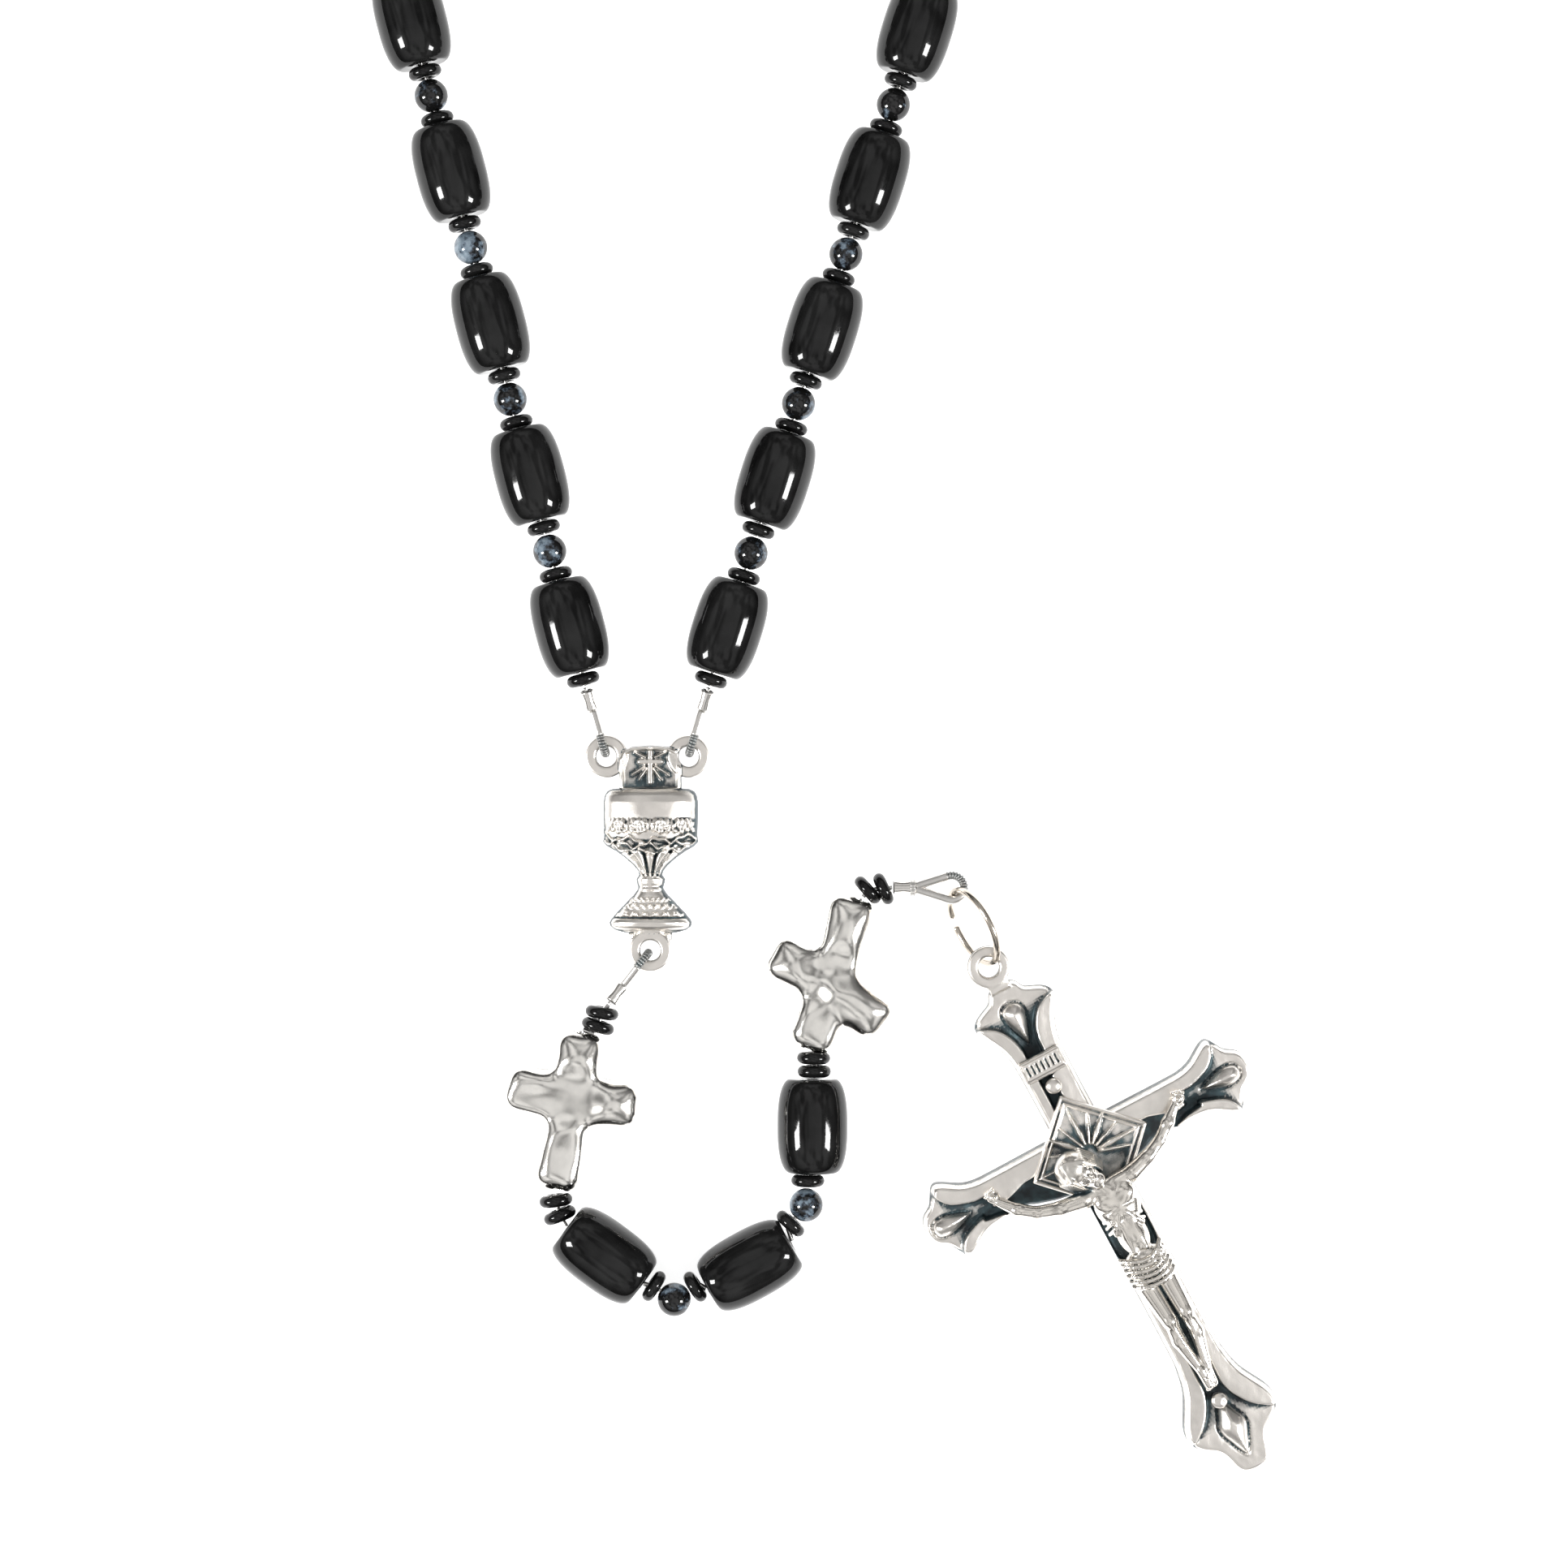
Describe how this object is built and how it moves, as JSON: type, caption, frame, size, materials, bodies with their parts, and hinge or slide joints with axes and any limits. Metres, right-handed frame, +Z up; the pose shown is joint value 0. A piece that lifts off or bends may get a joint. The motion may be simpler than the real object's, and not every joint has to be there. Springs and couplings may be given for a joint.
{
  "type": "rosary",
  "caption": "Rosary: stone barrel, round and spacer beads on wire, cross beads, chalice centre and crucifix on a jump ring.",
  "frame": {"origin": "middle of the flat back of the chalice-shaped centre, on the surface that the rosary lies on", "axes": "+Z up out of the centre's front, +Y from the centre up towards the far end of the loop, +X to the viewer's right"},
  "size_m": [0.1497, 0.3834, 0.0074],
  "materials": {
    "onyx": "glossy polished",
    "snowflake_obsidian": "glossy polished, grey snowflake patches",
    "french_wire": "fine coil",
    "beading_wire": "satin",
    "bright_silver": "bright",
    "hammered_silver": "hammered, polished",
    "antique_silver": "cast, antiqued",
    "dark_patina_silver": "cast, dark patina in recesses"
  },
  "bodies": {
    "centre": {"chalice_centre": "antique_silver"},
    "loop_1": {"left_wire_guard": "french_wire", "right_wire_guard": "french_wire", "left_crimp": "bright_silver", "right_crimp": "bright_silver", "loop_1_barrels": "onyx", "loop_1_rounds": "snowflake_obsidian", "loop_1_spacers": "onyx", "loop_1_wire": "beading_wire"},
    "loop_2": {"loop_2_barrels": "onyx", "loop_2_rounds": "snowflake_obsidian", "loop_2_spacers": "onyx", "loop_2_wire": "beading_wire"},
    "loop_3": {"loop_3_barrels": "onyx", "loop_3_rounds": "snowflake_obsidian", "loop_3_spacers": "onyx", "loop_3_wire": "beading_wire"},
    "loop_4": {"loop_4_barrels": "onyx", "loop_4_rounds": "snowflake_obsidian", "loop_4_spacers": "onyx", "loop_4_wire": "beading_wire", "lower_cross_beads": "hammered_silver"},
    "loop_5": {"loop_5_barrels": "onyx", "loop_5_rounds": "snowflake_obsidian", "loop_5_spacers": "onyx", "loop_5_wire": "beading_wire"},
    "loop_6": {"loop_6_barrels": "onyx", "loop_6_rounds": "snowflake_obsidian", "loop_6_spacers": "onyx", "loop_6_wire": "beading_wire", "upper_cross_beads": "hammered_silver"},
    "link_1": {"lower_wire_guard": "french_wire", "lower_crimp": "bright_silver", "pendant_spacers_1": "onyx", "pendant_cross_1": "hammered_silver", "pendant_wire_1": "beading_wire"},
    "link_2": {"pendant_spacers_2": "onyx", "pendant_round_1": "snowflake_obsidian", "pendant_wire_2": "beading_wire"},
    "spin_1": {"pendant_barrel_1": "onyx"},
    "link_3": {"pendant_spacers_3": "onyx", "pendant_round_2": "snowflake_obsidian", "pendant_wire_3": "beading_wire"},
    "spin_2": {"pendant_barrel_2": "onyx"},
    "link_4": {"pendant_spacers_4": "onyx", "pendant_wire_4": "beading_wire"},
    "spin_3": {"pendant_barrel_3": "onyx"},
    "link_5": {"pendant_spacers_5": "onyx", "pendant_cross_2": "hammered_silver", "end_crimp": "bright_silver", "end_wire_guard": "french_wire", "pendant_wire_5": "beading_wire"},
    "ring": {"jump_ring": "bright_silver"},
    "crucifix": {"crucifix_cross": "antique_silver", "corpus": "antique_silver", "sunburst_plate": "dark_patina_silver", "title_plaque": "dark_patina_silver", "upper_rivet": "antique_silver", "lower_rivet": "antique_silver"}
  },
  "joints": [
    {"name": "loop_swing_at_centre", "type": "hinge", "parent": "centre", "child": "loop_1", "pos_m": [-0.00025, 0.0096, 0.0015], "axis": [1, 0, 0], "range_deg": [-15, 28]},
    {"name": "loop_fold_1", "type": "hinge", "parent": "loop_1", "child": "loop_2", "pos_m": [0.00005, 0.02588, 0.00305], "axis": [0.9999, -0.01, 0], "range_deg": [-15, 28]},
    {"name": "loop_fold_2", "type": "hinge", "parent": "loop_2", "child": "loop_3", "pos_m": [0.00073, 0.05181, 0.00305], "axis": [0.9998, -0.0175, 0], "range_deg": [-15, 28]},
    {"name": "loop_fold_3", "type": "hinge", "parent": "loop_3", "child": "loop_4", "pos_m": [0.00175, 0.09071, 0.00305], "axis": [0.9998, -0.0211, 0], "range_deg": [-15, 28]},
    {"name": "loop_fold_4", "type": "hinge", "parent": "loop_4", "child": "loop_5", "pos_m": [0.00412, 0.18128, 0.00305], "axis": [0.9997, -0.0236, 0], "range_deg": [-15, 28]},
    {"name": "loop_fold_5", "type": "hinge", "parent": "loop_5", "child": "loop_6", "pos_m": [0.0058, 0.24632, 0.00305], "axis": [0.9997, -0.0241, 0], "range_deg": [-15, 28]},
    {"name": "pendant_swing_at_centre", "type": "hinge", "parent": "centre", "child": "link_1", "pos_m": [0, -0.00845, 0.0015], "axis": [0, 0, 1], "range_deg": [-25, 8]},
    {"name": "pendant_bend_1", "type": "hinge", "parent": "link_1", "child": "link_2", "pos_m": [-0.0076, -0.02747, 0.00225], "axis": [0, 0, 1], "range_deg": [-25, 4]},
    {"name": "barrel_1_spin", "type": "hinge", "parent": "link_2", "child": "spin_1", "pos_m": [-0.0039, -0.03465, 0.00305], "axis": [0.8039, -0.5948, 0], "continuous": true},
    {"name": "pendant_bend_2", "type": "hinge", "parent": "link_2", "child": "link_3", "pos_m": [0.0021, -0.03845, 0.00305], "axis": [0, 0, 1], "range_deg": [-30, 4]},
    {"name": "barrel_2_spin", "type": "hinge", "parent": "link_3", "child": "spin_2", "pos_m": [0.0086, -0.0355, 0.00305], "axis": [0.8746, 0.4848, 0], "continuous": true},
    {"name": "pendant_bend_3", "type": "hinge", "parent": "link_3", "child": "link_4", "pos_m": [0.01345, -0.0303, 0.00305], "axis": [0, 0, 1], "range_deg": [-25, 4]},
    {"name": "barrel_3_spin", "type": "hinge", "parent": "link_4", "child": "spin_3", "pos_m": [0.014, -0.0235, 0.00305], "axis": [0, 1, 0], "continuous": true},
    {"name": "pendant_bend_4", "type": "hinge", "parent": "link_4", "child": "link_5", "pos_m": [0.01416, -0.01525, 0.00305], "axis": [0, 0, 1], "range_deg": [-2, 12]},
    {"name": "jump_ring_swing", "type": "hinge", "parent": "link_5", "child": "ring", "pos_m": [0.026, -0.003, 0.00305], "axis": [0, 0, 1], "range_deg": [-2, 20]},
    {"name": "crucifix_swing", "type": "hinge", "parent": "ring", "child": "crucifix", "pos_m": [0.02915, -0.00982, 0.00311], "axis": [0.0181, -0.0339, 0.9993], "range_deg": [-2, 25]}
  ]
}
